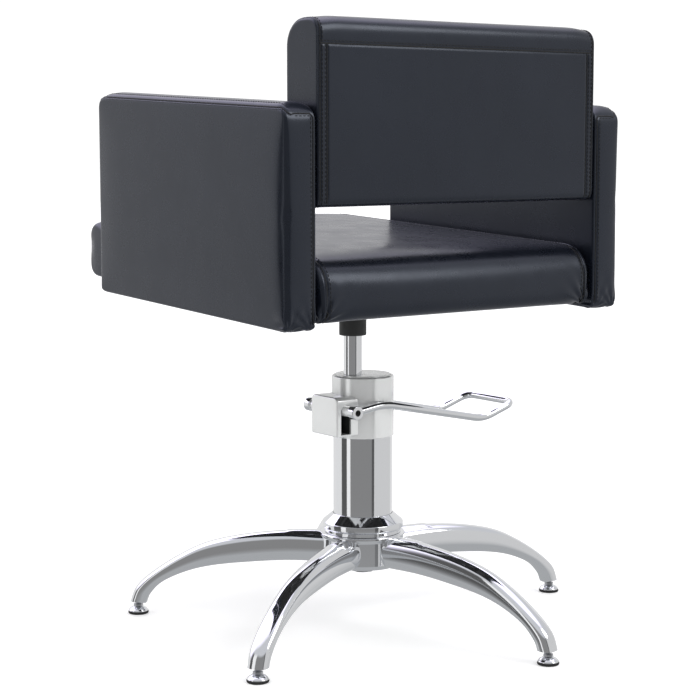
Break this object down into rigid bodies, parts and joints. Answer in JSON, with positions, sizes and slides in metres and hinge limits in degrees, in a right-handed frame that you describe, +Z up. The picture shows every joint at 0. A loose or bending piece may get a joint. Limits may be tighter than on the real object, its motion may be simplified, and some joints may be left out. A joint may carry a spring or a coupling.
{
  "type": "styling chair",
  "caption": "Hair-salon styling chair: box-shaped black upholstered seat on a hydraulic column with a foot pedal and a chrome star base on screw feet",
  "frame": {"origin": "centre of the bounding box, on the floor plane under the feet", "axes": "+Z up; +X to the sitter's left, towards the pump housing; -Y the way the sitter faces"},
  "size_m": [0.6126, 0.6354, 0.795],
  "materials": {
    "chrome": "bright chrome plate",
    "satin_metal": "satin bright metal",
    "steel": "zinc-plated steel",
    "black_steel": "black satin paint",
    "faux_leather": "black semi-gloss faux leather with a fine grain",
    "black_plastic": "matt black moulded plastic",
    "rubber": "black rubber",
    "plywood": "bare plywood"
  },
  "bodies": {
    "base": {"base_hub": "chrome", "base_collar": "chrome", "base_nut": "steel", "base_leg_1": "chrome", "base_leg_2": "chrome", "base_leg_3": "chrome", "base_leg_4": "chrome", "base_leg_5": "chrome", "pump_cylinder": "chrome", "pump_head": "satin_metal", "head_screw": "steel", "head_plate": "satin_metal", "rod_gland": "satin_metal", "plunger_spring": "steel"},
    "foot_1": {"foot_pad_1": "rubber", "foot_dome_1": "chrome"},
    "stem_1": {"foot_stem_1": "steel"},
    "foot_2": {"foot_pad_2": "rubber", "foot_dome_2": "chrome"},
    "stem_2": {"foot_stem_2": "steel"},
    "foot_3": {"foot_pad_3": "rubber", "foot_dome_3": "chrome"},
    "stem_3": {"foot_stem_3": "steel"},
    "foot_4": {"foot_pad_4": "rubber", "foot_dome_4": "chrome"},
    "stem_4": {"foot_stem_4": "steel"},
    "foot_5": {"foot_pad_5": "rubber", "foot_dome_5": "chrome"},
    "stem_5": {"foot_stem_5": "steel"},
    "pedal": {"pedal_bar": "chrome", "pedal_shaft": "satin_metal", "shaft_screw": "black_plastic", "shaft_button": "chrome"},
    "plunger": {"pump_plunger": "steel"},
    "ram": {"piston_rod": "chrome", "piston_head": "steel"},
    "chair_top": {"rod_socket": "steel", "rod_cap": "black_plastic", "seat_plate": "black_steel", "seat_board": "plywood", "seat_bolt_1": "steel", "seat_bolt_2": "steel", "seat_bolt_3": "steel", "seat_bolt_4": "steel", "seat_cushion": "faux_leather", "arm_left": "faux_leather", "arm_right": "faux_leather", "arm_rail_front": "black_steel", "arm_rail_rear": "black_steel", "arm_bolt_left_front": "steel", "arm_bolt_right_front": "steel", "arm_bolt_left_rear": "steel", "arm_bolt_right_rear": "steel", "back_cushion": "faux_leather", "back_board": "plywood", "back_panel": "faux_leather", "back_pin_1": "steel", "back_pin_2": "steel", "back_pin_3": "steel", "back_pin_4": "steel"}
  },
  "joints": [
    {"name": "foot_1_level", "type": "slide", "parent": "base", "child": "foot_1", "axis": [0, 0, 1], "range_m": [-0.006, 0.003]},
    {"name": "stem_1_screw", "type": "hinge", "parent": "foot_1", "child": "stem_1", "pos_m": [0.29232, 0.14548, 0.0115], "axis": [0, 0, 1], "range_deg": [-1760, 900]},
    {"name": "foot_2_level", "type": "slide", "parent": "base", "child": "foot_2", "axis": [0, 0, 1], "range_m": [-0.006, 0.003]},
    {"name": "stem_2_screw", "type": "hinge", "parent": "foot_2", "child": "stem_2", "pos_m": [-0.03937, 0.30368, 0.0115], "axis": [0, 0, 1], "range_deg": [-1760, 900]},
    {"name": "foot_3_level", "type": "slide", "parent": "base", "child": "foot_3", "axis": [0, 0, 1], "range_m": [-0.006, 0.003]},
    {"name": "stem_3_screw", "type": "hinge", "parent": "foot_3", "child": "stem_3", "pos_m": [-0.29233, 0.03712, 0.0115], "axis": [0, 0, 1], "range_deg": [-1760, 900]},
    {"name": "foot_4_level", "type": "slide", "parent": "base", "child": "foot_4", "axis": [0, 0, 1], "range_m": [-0.006, 0.003]},
    {"name": "stem_4_screw", "type": "hinge", "parent": "foot_4", "child": "stem_4", "pos_m": [-0.11698, -0.28583, 0.0115], "axis": [0, 0, 1], "range_deg": [-1760, 900]},
    {"name": "foot_5_level", "type": "slide", "parent": "base", "child": "foot_5", "axis": [0, 0, 1], "range_m": [-0.006, 0.003]},
    {"name": "stem_5_screw", "type": "hinge", "parent": "foot_5", "child": "stem_5", "pos_m": [0.24435, -0.21886, 0.0115], "axis": [0, 0, 1], "range_deg": [-1760, 900]},
    {"name": "pedal_pivot", "type": "hinge", "parent": "base", "child": "pedal", "pos_m": [0.0676, -0.00368, 0.296], "axis": [0, 1, 0], "range_deg": [-26, 0], "stiffness_Nm_per_rad": 12, "springref_deg": 8.59},
    {"name": "plunger_slide", "type": "slide", "parent": "base", "child": "plunger", "axis": [0, 0, 1], "range_m": [-0.0023, 0], "deforming": ["plunger_spring"]},
    {"name": "seat_lift", "type": "slide", "parent": "base", "child": "ram", "axis": [0, 0, 1], "range_m": [-0.05, 0.09]},
    {"name": "seat_swivel", "type": "hinge", "parent": "ram", "child": "chair_top", "pos_m": [0.0346, -0.00368, 0.415], "axis": [0, 0, 1], "continuous": true}
  ],
  "couplings": [
    {"joint": "stem_1_screw", "follows": "foot_1_level", "rad_per_m": 5026.5},
    {"joint": "stem_2_screw", "follows": "foot_2_level", "rad_per_m": 5026.5},
    {"joint": "stem_3_screw", "follows": "foot_3_level", "rad_per_m": 5026.5},
    {"joint": "stem_4_screw", "follows": "foot_4_level", "rad_per_m": 5026.5},
    {"joint": "stem_5_screw", "follows": "foot_5_level", "rad_per_m": 5026.5},
    {"joint": "plunger_slide", "follows": "pedal_pivot", "m_per_rad": 0.00485}
  ]
}
